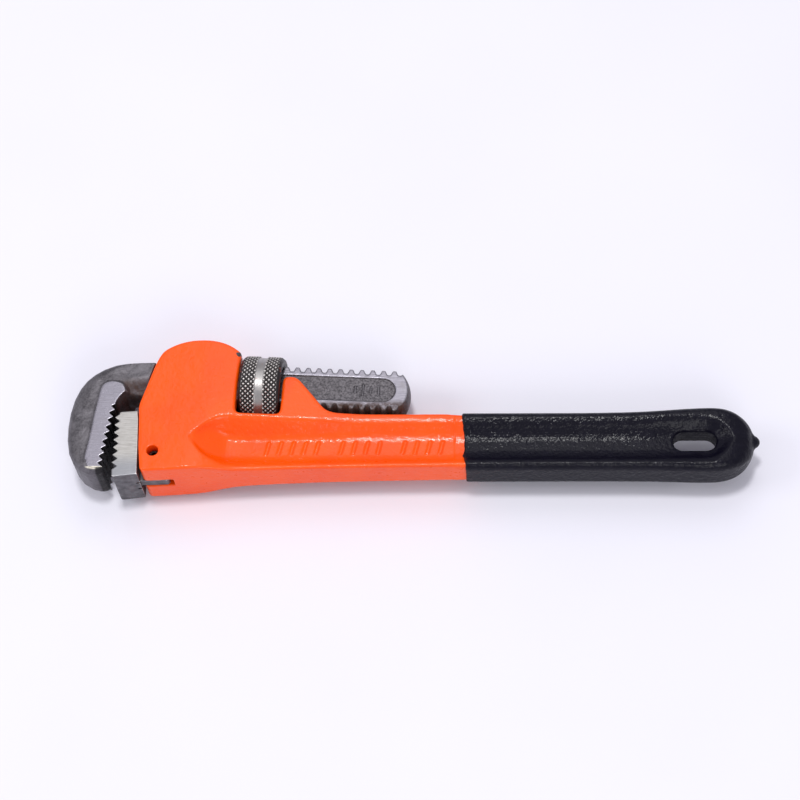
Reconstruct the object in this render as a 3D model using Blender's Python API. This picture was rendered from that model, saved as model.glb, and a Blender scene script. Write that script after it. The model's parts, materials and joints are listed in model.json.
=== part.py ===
"""Pipe wrench, 250 mm class: cast handle with an open housing, hook jaw on a threaded shank,
knurled adjusting nut, replaceable heel jaw held by a slotted pin, leaf and coil spring under
the shank, and a dipped vinyl grip. The wrench lies flat: +X runs along the handle from the
jaws to the grip, +Z is up. Outlines below are in millimetres in the drawing frame, whose XY
plane is the mid-plane of the casting; place() turns them into metres in the part's own frame.
"""
import math

import bmesh
import bpy
import numpy as np
from mathutils import Matrix, Vector

# ---------------------------------------------------------------- placing
SHIFT = (-91.0, -7.6, 11.95)          # drawing frame to part frame, mm

# ---------------------------------------------------------------- shank, thread and nut
NUT_C = (40.9, 18.0)                   # nut centre, which is the rocking axis
TILT = math.radians(-3.2)              # shank axis falls towards the grip
PITCH = 3.644
R_TIP, R_ROOT = 8.75, 7.35             # shank thread radii
CREST, FLANK = 1.10, 0.72              # axial widths of one tooth's crest and of each flank
PHASE = 0.94                           # axial place of a crest on the upper edge
SHANK_H = 4.7                          # half thickness of the shank
PLAIN_R = 8.68
S_END = 49.1
THREAD_GAP = 0.34
NUT_R, NUT_HALF = 11.95, 6.9
SEG = 24

# ---------------------------------------------------------------- casting
PIN_C, PIN_HOLE_R, PIN_R, PIN_BORE_R, PIN_HALF = (7.0, -9.0), 1.9, 1.58, 0.95, 6.2
SLOT_X, SLOT_TOP, SLOT_H = 13.2, 5.1, 1.95
TONGUE_X, TONGUE_H = 11.7, 1.62
CHANNEL_H = 5.05
POCKET_Y, POCKET_H = 6.6, 4.2
SPRING_X, SPRING_R, WIRE_R = 19.0, 2.1, 0.36
RIVET_X = 28.5
SLEEVE_T, CORE_T = 0.65, 0.95          # wall of the grip, and wall plus gap
HANG = (184.0, -3.35, 14.0, 6.7)        # slot centre, length, width

# half thickness of the casting along X, up to the grip, and how high its lower rim stands
LOWER = [(19.0, 9.9), (21.0, 9.75), (24.0, 9.2), (28.0, 7.9), (32.0, 6.75), (37.0, 6.2), (60.0, 5.9), (103.0, 5.65), (112.0, 5.6)]
THICK = [(-8.0, 9.7), (24.0, 9.7), (34.0, 8.95), (48.0, 7.85), (62.0, 6.75), (75.0, 5.75), (104.0, 5.6)]

HOUSING = [
    (3.3, -16.45), (2.0, -6.7), (1.3, 3.3), (0.8, 8.0), (5.1, 23.5), (6.0, 26.0), (7.0, 28.1),
    (8.3, 29.5), (10.2, 30.7), (12.4, 31.75), (15.0, 32.6), (18.0, 33.1), (21.0, 33.2),
    (24.0, 33.05), (27.5, 32.3), (30.5, 30.95), (32.7, 29.4), (33.9, 28.2), (33.75, 26.2), (33.2, 16.0),
    (33.0, 9.0), (33.0, 7.2), (33.5, 6.1), (34.6, 5.6),
    (46.6, 5.6), (47.6, 6.1), (47.95, 7.4), (48.15, 17.8), (48.55, 19.2), (49.6, 19.9),
    (52.0, 19.9), (53.55, 19.0), (55.1, 17.2), (59.4, 12.0), (61.6, 9.1), (63.3, 7.6),
    (66.0, 6.75), (75.0, 6.45), (90.0, 6.4), (103.0, 6.45), (107.5, 5.95),
]
UNDERSIDE = [(110.0, -13.05), (107.0, -13.1), (101.0, -13.15), (80.0, -13.35), (62.0, -13.65), (47.0, -14.1), (27.0, -15.0), (12.0, -16.05)]

# outer skin of the grip: (x, top y, bottom y, half thickness)
GRIP = [
    (107.9, 6.95, -14.0, 6.5), (130.0, 6.75, -14.1, 6.5), (150.0, 6.65, -14.15, 6.5),
    (164.0, 6.85, -14.25, 6.5), (172.0, 7.25, -14.4, 6.5), (180.0, 7.85, -14.7, 6.5),
    (187.0, 8.2, -14.9, 6.5), (191.5, 8.15, -14.75, 6.5), (194.5, 7.65, -14.2, 6.4),
    (197.0, 6.7, -13.3, 6.1), (199.2, 5.4, -12.0, 5.5), (201.0, 3.9, -10.3, 4.7),
    (202.4, 2.2, -8.1, 3.7), (203.3, 0.2, -5.3, 2.6),
]
NIB = [(201.4, 2.7, 2.4), (203.4, 1.75, 1.5), (204.6, 1.0, 0.9), (205.2, 0.35, 0.35)]   # x, half width, half height

# panel sunk in both sides of the grip skin: (x, floor z, floor top y, floor bottom y, slopes)
PANEL = [
    (100.0, 3.5, -1.2, -8.6, 1.37, 1.1), (168.0, 3.5, -1.2, -8.7, 1.37, 1.1),
    (177.0, 3.2, 0.2, -8.2, 1.0, 1.1), (189.0, 3.2, 0.2, -8.2, 1.0, 1.1),
    (192.0, 3.9, -0.6, -7.2, 1.0, 1.0), (194.6, 5.2, -1.6, -5.9, 1.0, 0.9),
    (196.6, 7.0, -2.6, -4.6, 1.0, 0.9),
]
# the same panel in the painted part of the handle, starting as a scoop in the housing side
SCOOP = [
    (19.0, 9.95, -2.6, -4.4, 0.55, 0.5), (21.0, 8.6, -1.5, -6.9, 0.6, 0.55),
    (24.0, 6.6, -0.4, -9.0, 0.68, 0.6), (27.0, 4.6, -0.15, -9.3, 0.75, 0.7),
    (30.0, 2.75, -1.0, -9.0, 0.80, 0.95), (36.0, 2.6, -1.2, -8.9, 0.85, 1.15), (50.0, 2.6, -1.2, -8.9, 0.95, 1.15),
    (62.0, 2.6, -1.2, -8.9, 1.15, 1.12), (78.0, 2.6, -1.15, -8.9, 1.5, 1.08),
    (104.0, 2.6, -1.0, -8.85, 1.45, 1.05),
]

# hook jaw: outer edge and the edge of its flat side, point for point
HOOK_OUT = [
    (4.85, 26.2), (0.0, 26.2), (-4.5, 26.1), (-8.7, 25.5), (-12.8, 23.9), (-16.0, 21.9),
    (-18.5, 19.6), (-20.5, 16.6), (-22.1, 12.5), (-23.0, 7.5), (-23.2, 2.4), (-22.9, -2.7),
    (-21.8, -7.8), (-20.0, -11.4), (-17.9, -13.8), (-15.2, -15.3), (-12.7, -15.9), (-11.4, -15.9),
    (-10.0, -15.4), (-9.1, -14.4),
]
HOOK_FLAT = [
    (4.0, 23.0), (-0.5, 22.8), (-4.2, 22.0), (-7.5, 20.8), (-9.8, 19.4), (-11.3, 18.0),
    (-12.1, 16.4), (-12.6, 14.4), (-13.0, 10.5), (-13.3, 6.0), (-13.6, 2.0), (-14.0, -2.5),
    (-14.4, -7.0), (-14.8, -10.8), (-14.8, -12.6), (-14.0, -13.8), (-12.7, -14.1), (-11.8, -14.2),
    (-10.6, -14.1), (-9.7, -13.9),
]
HOOK_RINGS = [(0.0, 4.2), (0.05, 6.1), (0.17, 7.2), (0.5, 8.1), (1.0, 8.5)]
THROAT = [(-7.3, 9.0), (-7.0, 10.4), (-6.2, 12.0), (-4.9, 13.7), (-3.1, 15.3), (-1.0, 16.3), (2.4, 17.0)]
HOOK_TIP_TOP, HOOK_TIP_END, HOOK_TEETH = (-7.05, 8.45), (-9.6, -13.1), 8
TOOTH_DEPTH = 1.45
HEEL_TOP, HEEL_END, HEEL_TEETH = (-6.8, 5.4), (-6.1, -16.9), 8
HEEL_H = 8.7

COLOURS = {
    "handle": (0.90, 0.17, 0.02), "hook_jaw": (0.17, 0.165, 0.17), "adjusting_nut": (0.22, 0.21, 0.21),
    "heel_jaw": (0.55, 0.54, 0.52), "heel_jaw_pin": (0.2, 0.19, 0.18), "flat_spring": (0.12, 0.13, 0.16),
    "coil_spring": (0.3, 0.3, 0.31), "spring_rivet": (0.35, 0.34, 0.33), "grip_sleeve": (0.012, 0.012, 0.016),
}
METAL = {"handle": (0.0, 0.35), "grip_sleeve": (0.0, 0.5)}


# ================================================================ helpers
def clear_scene():
    for obj in list(bpy.data.objects):
        bpy.data.objects.remove(obj, do_unlink=True)


def from_bmesh(name, bm):
    bmesh.ops.remove_doubles(bm, verts=bm.verts, dist=1e-5)
    bmesh.ops.recalc_face_normals(bm, faces=bm.faces)
    mesh = bpy.data.meshes.new(name)
    bm.to_mesh(mesh)
    bm.free()
    obj = bpy.data.objects.new(name, mesh)
    bpy.context.scene.collection.objects.link(obj)
    return obj


def loft(name, rings):
    """Closed body through rings of equal length, capped at both ends."""
    bm = bmesh.new()
    made = [[bm.verts.new(p) for p in ring] for ring in rings]
    n = len(made[0])
    for a, b in zip(made, made[1:]):
        for i in range(n):
            j = (i + 1) % n
            bm.faces.new((a[i], a[j], b[j], b[i]))
    bm.faces.new(list(reversed(made[0])))
    bm.faces.new(made[-1])
    return from_bmesh(name, bm)


def prism_z(name, pts, z0, z1):
    return loft(name, [[(x, y, z) for x, y in pts] for z in (z0, z1)])


def prism_y(name, pts, y0, y1):
    return loft(name, [[(x, y, z) for x, z in pts] for y in (y0, y1)])


def box(name, low, high):
    return prism_z(name, [(low[0], low[1]), (high[0], low[1]), (high[0], high[1]), (low[0], high[1])], low[2], high[2])


def baked(obj):
    """Replaces the object's mesh by its evaluated mesh and drops the modifiers."""
    graph = bpy.context.evaluated_depsgraph_get()
    mesh = bpy.data.meshes.new_from_object(obj.evaluated_get(graph))
    obj.modifiers.clear()
    old = obj.data
    obj.data = mesh
    bpy.data.meshes.remove(old)
    return obj


def tidy(obj, dist=0.004):
    bm = bmesh.new()
    bm.from_mesh(obj.data)
    bmesh.ops.remove_doubles(bm, verts=bm.verts, dist=dist)
    bmesh.ops.dissolve_degenerate(bm, dist=dist, edges=bm.edges)
    bm.to_mesh(obj.data)
    bm.free()
    return obj


def combine(obj, other, operation):
    mod = obj.modifiers.new("cut", "BOOLEAN")
    mod.operation = operation
    mod.solver = "EXACT"
    mod.object = other
    bpy.context.view_layer.update()
    baked(obj)
    bpy.data.objects.remove(other, do_unlink=True)
    return tidy(obj)


def cut(obj, other):
    return combine(obj, other, "DIFFERENCE")


def join(obj, other):
    return combine(obj, other, "UNION")


def both(obj, other):
    return combine(obj, other, "INTERSECT")


def inset(pts, d):
    """The closed outline moved inwards by d along its corner normals."""
    p = np.array(pts, float)
    a = np.roll(p, 1, 0)
    b = np.roll(p, -1, 0)
    area = float(np.sum(p[:, 0] * b[:, 1] - b[:, 0] * p[:, 1]))
    e0 = (p - a) / np.linalg.norm(p - a, axis=1)[:, None]
    e1 = (b - p) / np.linalg.norm(b - p, axis=1)[:, None]
    turn = 1.0 if area > 0 else -1.0
    n0 = np.c_[-e0[:, 1], e0[:, 0]] * turn
    n1 = np.c_[-e1[:, 1], e1[:, 0]] * turn
    m = n0 + n1
    m = m / np.maximum(np.sum(m * n0, axis=1), 0.5)[:, None]
    return [tuple(q) for q in p + m * np.reshape(d, (-1, 1))]


def refined(pts, xs):
    """The closed outline with corners added wherever an edge crosses one of xs."""
    out = []
    for (x0, y0), (x1, y1) in zip(pts, pts[1:] + pts[:1]):
        out.append((x0, y0))
        inside = [float(x) for x in xs if min(x0, x1) + 0.6 < x < max(x0, x1) - 0.6]
        for x in sorted(inside, reverse=x1 < x0):
            t = (x - x0) / (x1 - x0)
            out.append((x, y0 + (y1 - y0) * t))
    return out


def soft_slab(name, outline, side, radius):
    """Plan outline with half thickness side(x) and its rims rounded in three steps by radius(x)."""
    pts = refined(outline, [x for x, h in side])
    x = np.array([p[0] for p in pts])
    h = np.interp(x, [p[0] for p in side], [p[1] for p in side])
    r = np.array([radius(v) for v in x])
    steps = [(0.0, -1.0), (0.134, -0.5), (0.5, -0.134), (1.6, 0.161)]
    rings = []
    for sign, order in ((-1, steps[::-1]), (1, steps)):
        for move, rise in order:
            rings.append([(px, py, sign * (hh + rise * rr)) for (px, py), hh, rr in zip(inset(pts, move * r), h, r)])
    body = loft(name, rings)
    env = [(x0, z0) for x0, z0 in side] + [(x0, -z0) for x0, z0 in reversed(side)]
    mod = body.modifiers.new("cut", "BOOLEAN")
    mod.operation, mod.solver, mod.use_self = "INTERSECT", "EXACT", True
    other = prism_y("envelope", env, -80, 80)
    mod.object = other
    bpy.context.view_layer.update()
    baked(body)
    bpy.data.objects.remove(other, do_unlink=True)
    return tidy(body)


def along(s, n, z=0.0):
    """Shank coordinates (along the axis, across it, up) to the drawing frame."""
    c, t = math.cos(TILT), math.sin(TILT)
    return (NUT_C[0] + s * c - n * t, NUT_C[1] + s * t + n * c, z)


def threaded(name, s0, turns, grow):
    """A rod with the shank's helical thread, larger all round by grow."""
    half_crest = CREST / 2 + 0.55 * grow
    profile = [
        (-half_crest - FLANK, R_ROOT + grow), (-half_crest, R_TIP + grow),
        (half_crest, R_TIP + grow), (half_crest + FLANK, R_ROOT + grow),
    ]
    start = PHASE - PITCH / 4 + PITCH * round((s0 - PHASE) / PITCH)
    bm = bmesh.new()
    rows = []
    count = turns * SEG
    for i in range(count + 1):
        ang = 2 * math.pi * i / SEG
        row = []
        for ds, r in profile:
            row.append(bm.verts.new(along(start + PITCH * i / SEG + ds, r * math.cos(ang), r * math.sin(ang))))
        rows.append(row)
    for i in range(count):
        for j in range(3):
            bm.faces.new((rows[i][j], rows[i + 1][j], rows[i + 1][j + 1], rows[i][j + 1]))
        if i + SEG + 1 <= count:
            bm.faces.new((rows[i][3], rows[i + 1][3], rows[i + 1 + SEG][0], rows[i + SEG][0]))
    first = [rows[i][0] for i in range(SEG + 1)] + [rows[0][j] for j in (3, 2, 1)]
    last = [rows[i][3] for i in range(count - SEG, count + 1)] + [rows[count][j] for j in (2, 1, 0)]
    for ring, s in ((first, start - 1.5), (last, start + PITCH * turns + 1.5)):
        tip = bm.verts.new(along(s, 0.0, 0.0))
        for a, b in zip(ring, ring[1:] + ring[:1]):
            bm.faces.new((a, b, tip))
    return from_bmesh(name, bm)


def revolve_shank(name, profile, seg):
    """Body of revolution about the shank axis from (s, r) points."""
    rings = []
    for s, r in profile:
        rings.append([along(s, r * math.cos(2 * math.pi * k / seg), r * math.sin(2 * math.pi * k / seg)) for k in range(seg)])
    return loft(name, rings)


def cylinder(name, centre, axis, radius, low, high, seg):
    u, v = {"z": ((1, 0, 0), (0, 1, 0)), "y": ((1, 0, 0), (0, 0, 1))}[axis]
    w = {"z": (0, 0, 1), "y": (0, 1, 0)}[axis]
    rings = []
    for t in (low, high):
        rings.append([
            tuple(centre[k] + w[k] * t + radius * (u[k] * math.cos(2 * math.pi * i / seg) + v[k] * math.sin(2 * math.pi * i / seg)) for k in range(3))
            for i in range(seg)
        ])
    return loft(name, rings)


def panel_cutter(name, stations, side, off, reach=14.0):
    rings = []
    for x, zf, top, bottom, up, down in stations:
        z0 = zf - off
        t, b = top + 0.35 * off, bottom - 0.35 * off
        rings.append([
            (x, t, side * z0), (x, b, side * z0),
            (x, b - down * (reach - z0), side * reach), (x, t + up * (reach - z0), side * reach),
        ])
    return loft(name, rings)


def slot_outline(cx, cy, length, width, grow, seg=8):
    r = width / 2 + grow
    d = (length - width) / 2
    pts = []
    for sign in (1, -1):
        for k in range(seg + 1):
            a = -math.pi / 2 + math.pi * k / seg
            pts.append((cx + sign * (d + r * math.cos(a)), cy + sign * r * math.sin(a)))
    return pts


def grip_outline(off, front, tail=0.0):
    """Plan outline of the grip moved inwards by off (and by tail more at its end), from x = front."""
    pts = [(x, t) for x, t, b, h in GRIP] + [(x, b) for x, t, b, h in reversed(GRIP)]
    pts = inset(pts, [off + (tail if x > 188 else 0.0) for x, y in pts])
    return [(front, pts[0][1])] + pts[1:-1] + [(front, pts[-1][1])]


def grip_side(off, front, tail=0.0):
    """Half thickness along X of the grip moved inwards by off (and by tail more at its end)."""
    pts = [(x, h) for x, t, b, h in GRIP] + [(x, -h) for x, t, b, h in reversed(GRIP)]
    pts = inset(pts, [off + (tail if x > 188 else 0.0) for x, y in pts])
    return [(front, pts[0][1])] + pts[1:len(GRIP)]


# ================================================================ pieces
def make_handle():
    core = grip_outline(CORE_T, 100.0, 0.6)
    n = len(core) // 2
    outline = HOUSING + core[1:n] + core[n:-1] + UNDERSIDE
    side = THICK + grip_side(CORE_T, 100.0, 0.6)[1:]
    handle = soft_slab("handle", outline, side, lambda x: float(np.interp(x, [98.0, 105.0], [1.0, 1.65])))
    for side in (1, -1):
        hidden = []
        for x, zf, t, b, up, down in PANEL:
            more = 0.35 if x > 160 else 0.0
            shift = (2.0 if x > 190 else -1.0) if x > 160 else 0.0
            hidden.append((x + shift, zf - CORE_T - more, t + 0.35 * CORE_T + more, b - 0.35 * CORE_T - more, up, down))
        start = [(112.0,) + hidden[0][1:]] + hidden[1:]
        cut(handle, panel_cutter("panel", SCOOP + start, side, 0.0))
    # the lower rim stands lower than the upper one
    for side in (1, -1):
        cut(handle, loft("rim", [[(x, -30.0, side * z), (x, -5.2, side * z), (x, -5.2, side * 14.0), (x, -30.0, side * 14.0)] for x, z in LOWER]))
    # hang hole with room for the vinyl wall inside it
    cut(handle, prism_z("hang", slot_outline(HANG[0], HANG[1], HANG[2], HANG[3], 1.25), -20, 20))
    # channel for the shank through the housing
    prof = []
    r = R_TIP + 0.36
    a0 = math.asin(CHANNEL_H / r)
    for k in range(9):
        a = -a0 + 2 * a0 * k / 8
        prof.append((r * math.cos(a), r * math.sin(a)))
    prof += [(-5.5, CHANNEL_H), (-5.5, -CHANNEL_H)]
    cut(handle, loft("channel", [[along(s, n_, z) for n_, z in prof] for s in (-50.0, -6.4)]))
    cut(handle, box("floor", (-10, 8.2, -CHANNEL_H), (34.2, 16.5, CHANNEL_H)))
    cut(handle, box("pocket", (14.9, POCKET_Y, -POCKET_H), (36.0, 10.0, POCKET_H)))
    # fork that lets the shank pass over the handle
    cut(handle, box("fork", (46.0, 6.5, -CHANNEL_H), (70.0, 40.0, CHANNEL_H)))
    # slot for the heel jaw's tongue, the pin's hole, the spring seat and the rivet hole
    cut(handle, prism_z("slot", [(-8, -30), (SLOT_X, -30), (SLOT_X, SLOT_TOP - 1.0), (SLOT_X - 1.0, SLOT_TOP), (-8, SLOT_TOP)], -SLOT_H, SLOT_H))
    cut(handle, cylinder("pin_hole", (PIN_C[0], PIN_C[1], 0), "z", PIN_HOLE_R, -20, 20, 24))
    cut(handle, cylinder("seat", (SPRING_X, 0, 0), "y", SPRING_R + WIRE_R + 0.35, 1.0, 9.0, 24))
    cut(handle, cylinder("rivet_hole", (RIVET_X, 0, 0), "y", 1.15, 3.2, 8.0, 16))
    return handle


def tooth_line(top, end, count, depth, into):
    """Zigzag of count teeth from top to end; into is the direction of the roots."""
    t, e = Vector(top), Vector(end)
    step = (e - t) / count
    pts = []
    for k in range(count):
        a = t + step * k
        pts.append(tuple(a + step * 0.06 + Vector(into) * depth))
        pts.append(tuple(a + step * 0.44))
        pts.append(tuple(a + step * 0.56))
        pts.append(tuple(a + step * 0.94 + Vector(into) * depth))
    return pts


def make_hook():
    teeth = tooth_line(HOOK_TIP_TOP, HOOK_TIP_END, HOOK_TEETH, TOOTH_DEPTH, (-1.0, 0.12))
    inner = list(reversed(teeth)) + THROAT
    rings = []
    for sign in (-1, 1):
        order = list(reversed(HOOK_RINGS)) if sign < 0 else HOOK_RINGS
        for t, z in order:
            ring = []
            for o, f in zip(HOOK_OUT, HOOK_FLAT):
                ring.append((o[0] + (f[0] - o[0]) * t, o[1] + (f[1] - o[1]) * t, sign * z))
            ring += [(x, y, sign * z) for x, y in inner]
            rings.append(ring)
    hook = loft("hook_jaw", rings)
    # plain shank through the housing
    a0 = math.asin(SHANK_H / PLAIN_R)
    prof = []
    for sgn in (1, -1):
        for k in range(7):
            a = -a0 + 2 * a0 * k / 6
            prof.append((sgn * PLAIN_R * math.cos(a), sgn * PLAIN_R * math.sin(a)))
    plain = loft("plain", [[along(s, n_ * k, z) for n_, z in prof] for s, k in ((-46.2, 0.72), (-37.5, 0.80), (-33.5, 1.0), (-8.2, 1.0))])
    hook = join(hook, plain)
    # threaded shank with flat sides and a rounded end
    rod = threaded("rod", -9.5, 16, 0.0)
    end = [(-9.6, 9.6), (43.6, 9.6), (44.9, 8.3), (46.6, 6.6), (48.0, 4.5), (48.8, 2.3), (S_END, 0.0)]
    plan = end + [(s, -n_) for s, n_ in reversed(end[:-1])]
    both(rod, loft("flats", [[along(s + (out if s > 40 else 0.0), n_, z) for s, n_ in plan] for z, out in ((-SHANK_H, 0.0), (-2.2, 0.9), (2.2, 0.9), (SHANK_H, 0.0))]))
    hook = join(hook, rod)
    # sunk panel on both flats
    for side in (1, -1):
        w, s1 = 4.45, 45.0
        pts = [(-4.0, -w), (s1 - w, -w)]
        pts += [(s1 - w + w * math.sin(math.pi * k / 8), -w * math.cos(math.pi * k / 8)) for k in range(1, 8)]
        pts += [(s1 - w, w), (-4.0, w)]
        small = inset(pts, 0.45)
        rings = [[along(s, n_, side * (SHANK_H - 0.6)) for s, n_ in small], [along(s, n_, side * (SHANK_H + 0.15)) for s, n_ in inset(pts, -0.1)]]
        cut(hook, loft("flat_panel", rings))
    return hook


def make_nut():
    h = NUT_HALF
    prof = [(-h, 10.5), (-h + 0.35, 11.2), (-h + 1.15, NUT_R), (-1.55, NUT_R), (-1.3, NUT_R - 0.5),
            (1.3, NUT_R - 0.5), (1.55, NUT_R), (h - 1.15, NUT_R), (h - 0.35, 11.2), (h, 10.5)]
    nut = revolve_shank("adjusting_nut", prof, 48)
    cut(nut, threaded("bore", -14.6, 9, THREAD_GAP))
    for sgn in (-1, 1):
        lead = [(sgn * (h - 0.9), R_ROOT), (sgn * (h - 0.7), R_ROOT + THREAD_GAP + 0.2), (sgn * (h + 0.6), R_TIP + THREAD_GAP + 0.9)]
        cut(nut, revolve_shank("lead", lead, 48))
    return nut


def make_heel():
    teeth = tooth_line(HEEL_TOP, HEEL_END, HEEL_TEETH, TOOTH_DEPTH, (1.0, 0.0))
    plan = [(-5.5, 5.7), (-4.9, 6.05), (0.55, 6.45), (1.05, 3.2), (1.75, -6.8), (2.35, -17.1), (-5.4, -18.0), (-5.95, -17.6)]
    heel = prism_z("heel_jaw", teeth[:-1] + list(reversed(plan)), -HEEL_H, HEEL_H)
    tongue = prism_z("tongue", [(-1.5, -16.3), (TONGUE_X - 0.7, -15.95), (TONGUE_X, -15.3), (TONGUE_X, 3.4), (TONGUE_X - 1.0, 4.6), (-1.5, 4.6)], -TONGUE_H, TONGUE_H)
    join(heel, tongue)
    cut(heel, cylinder("pin_bore", (PIN_C[0], PIN_C[1], 0), "z", PIN_HOLE_R, -5, 5, 24))
    # small reliefs where the tongue meets the block
    for sgn in (1, -1):
        cut(heel, loft("relief", [[(x, y, sgn * (TONGUE_H + 0.35) + dz) for x, dz in ((1.0, -0.32), (3.0, -0.32), (3.0, 0.45), (1.0, 0.45))] for y in (-30.0, 20.0)]))
    return heel


def make_pin():
    outer, bore = [], []
    seg = 20
    gap = 0.32
    for k in range(seg + 1):
        a = gap + (2 * math.pi - 2 * gap) * k / seg
        outer.append((PIN_C[0] + PIN_R * math.cos(a), PIN_C[1] + PIN_R * math.sin(a)))
        bore.append((PIN_C[0] + PIN_BORE_R * math.cos(a), PIN_C[1] + PIN_BORE_R * math.sin(a)))
    return prism_z("heel_jaw_pin", outer + list(reversed(bore)), -PIN_HALF, PIN_HALF)


def make_leaf():
    low = [(31.8, 6.95), (25.6, 6.95), (22.5, 7.6), (19.0, 8.75), (16.6, 9.55), (15.6, 9.6)]
    up = [(15.6, 10.3), (16.7, 10.27), (19.3, 9.43), (22.7, 8.3), (25.7, 7.65), (31.8, 7.65)]
    leaf = prism_z("flat_spring", low + up, -3.7, 3.7)
    cut(leaf, cylinder("leaf_hole", (RIVET_X, 0, 0), "y", 1.15, 5.0, 9.0, 16))
    return leaf


def make_rivet():
    prof = [(0.85, 3.5), (0.85, 7.95), (2.2, 7.95), (2.15, 8.15), (1.6, 8.4), (0.8, 8.5)]
    seg = 16
    rings = [[(RIVET_X + r * math.cos(2 * math.pi * k / seg), y, r * math.sin(2 * math.pi * k / seg)) for k in range(seg)] for r, y in prof]
    return loft("spring_rivet", rings)


def make_coil():
    turns, per, wire = 5.0, 14, 6
    low, high = 1.35 + WIRE_R, 7.45
    rings = []
    count = int(turns * per)
    for i in range(count + 1):
        t = i / count
        a = 2 * math.pi * turns * t
        flat = 0.5 - 0.5 * math.cos(math.pi * min(1.0, max(0.0, (t - 0.08) / 0.84)))
        y = low + (high - low) * (0.75 * t + 0.25 * flat)
        centre = Vector((SPRING_X + SPRING_R * math.cos(a), y, SPRING_R * math.sin(a)))
        rad = Vector((math.cos(a), 0, math.sin(a)))
        up = Vector((0, 1, 0))
        rings.append([tuple(centre + (rad * math.cos(2 * math.pi * k / wire) + up * math.sin(2 * math.pi * k / wire)) * WIRE_R) for k in range(wire)])
    return loft("coil_spring", rings)


def make_grip():
    body = soft_slab("grip_sleeve", grip_outline(0.0, 98.0), grip_side(0.0, 98.0), lambda x: 2.6)
    cavity = soft_slab("cavity", grip_outline(SLEEVE_T, 90.0), grip_side(SLEEVE_T, 90.0), lambda x: 1.95)
    seg = 12
    join(body, loft("nib", [[(x, -2.35 + w * math.cos(2 * math.pi * k / seg), h * math.sin(2 * math.pi * k / seg)) for k in range(seg)] for x, w, h in NIB]))
    for side in (1, -1):
        cut(body, panel_cutter("panel", PANEL, side, 0.0))
        hollow = [(90.0,) + PANEL[0][1:]] + [(x + (1.2 if x > 190 else 0.0), zf, t, b, up, down) for x, zf, t, b, up, down in PANEL[1:]]
        cut(cavity, panel_cutter("panel", hollow, side, SLEEVE_T))
    cut(cavity, prism_z("hang_room", slot_outline(HANG[0], HANG[1], HANG[2], HANG[3], 0.95), -20, 20))
    cut(body, cavity)
    cut(body, box("front", (80, -30, -20), (GRIP[0][0], 30, 20)))
    cut(body, prism_z("hang", slot_outline(HANG[0], HANG[1], HANG[2], HANG[3], 0.0), -20, 20))
    return body


# ================================================================ finish
def material(name):
    mat = bpy.data.materials.new(name)
    mat.use_nodes = True
    shader = mat.node_tree.nodes["Principled BSDF"]
    r, g, b = COLOURS[name]
    metal, rough = METAL.get(name, (1.0, 0.42))
    shader.inputs["Base Color"].default_value = (r, g, b, 1.0)
    shader.inputs["Metallic"].default_value = metal
    shader.inputs["Roughness"].default_value = rough
    mat.diffuse_color = (r, g, b, 1.0)
    return mat


def place(obj, origin=None):
    """Drawing frame in mm to the part frame in metres, with the object's origin at origin."""
    move = Vector(SHIFT)
    at = (Vector(origin) + move) * 0.001 if origin else Vector((0, 0, 0))
    obj.data.transform(Matrix.Translation(-at) @ Matrix.Scale(0.001, 4) @ Matrix.Translation(move))
    obj.location = at
    obj.data.materials.clear()
    obj.data.materials.append(material(obj.name))
    obj.data.shade_smooth()
    obj.data.set_sharp_from_angle(angle=math.radians(32))


clear_scene()
nut_at = (NUT_C[0], NUT_C[1], 0.0)
place(make_handle())
place(make_hook(), nut_at)
place(make_nut(), nut_at)
place(make_heel())
place(make_pin())
place(make_leaf(), nut_at)
place(make_rivet())
place(make_coil())
place(make_grip())
low = np.min([np.min([tuple(o.matrix_basis @ v.co) for v in o.data.vertices], axis=0) for o in bpy.data.objects], axis=0)
high = np.max([np.max([tuple(o.matrix_basis @ v.co) for v in o.data.vertices], axis=0) for o in bpy.data.objects], axis=0)
print("low", (low * 1000).round(3), "high", (high * 1000).round(3))
for o in bpy.data.objects:
    print(o.name, len(o.data.polygons))
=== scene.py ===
"""Looks for the pipe wrench: each piece is modelled as a smooth distance field in millimetres, meshed,
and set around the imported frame, with procedural materials."""
import json
import math

import bmesh
import bpy
import numpy as np
from mathutils import Matrix, Vector

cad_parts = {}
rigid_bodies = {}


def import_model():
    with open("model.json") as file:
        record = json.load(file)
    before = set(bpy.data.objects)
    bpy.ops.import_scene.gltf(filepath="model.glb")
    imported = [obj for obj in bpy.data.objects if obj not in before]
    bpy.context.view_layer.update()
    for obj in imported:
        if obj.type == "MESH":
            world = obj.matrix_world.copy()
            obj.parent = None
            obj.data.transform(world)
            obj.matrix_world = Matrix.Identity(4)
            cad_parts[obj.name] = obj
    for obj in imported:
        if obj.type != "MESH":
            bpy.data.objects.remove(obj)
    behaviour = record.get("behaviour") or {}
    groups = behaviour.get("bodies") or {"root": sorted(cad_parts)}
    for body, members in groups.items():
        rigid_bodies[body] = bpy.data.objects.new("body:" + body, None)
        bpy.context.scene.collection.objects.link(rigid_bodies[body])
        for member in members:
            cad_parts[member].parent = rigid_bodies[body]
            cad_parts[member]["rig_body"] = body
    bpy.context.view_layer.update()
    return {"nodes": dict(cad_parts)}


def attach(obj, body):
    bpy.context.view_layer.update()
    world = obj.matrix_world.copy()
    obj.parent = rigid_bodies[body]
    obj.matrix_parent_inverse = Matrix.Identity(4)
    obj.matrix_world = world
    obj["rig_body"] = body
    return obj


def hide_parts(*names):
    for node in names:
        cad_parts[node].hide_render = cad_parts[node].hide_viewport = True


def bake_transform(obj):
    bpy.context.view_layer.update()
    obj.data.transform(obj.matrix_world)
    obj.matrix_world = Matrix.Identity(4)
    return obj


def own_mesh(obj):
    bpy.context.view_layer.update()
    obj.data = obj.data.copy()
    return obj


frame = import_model()
F = np.float32

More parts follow.
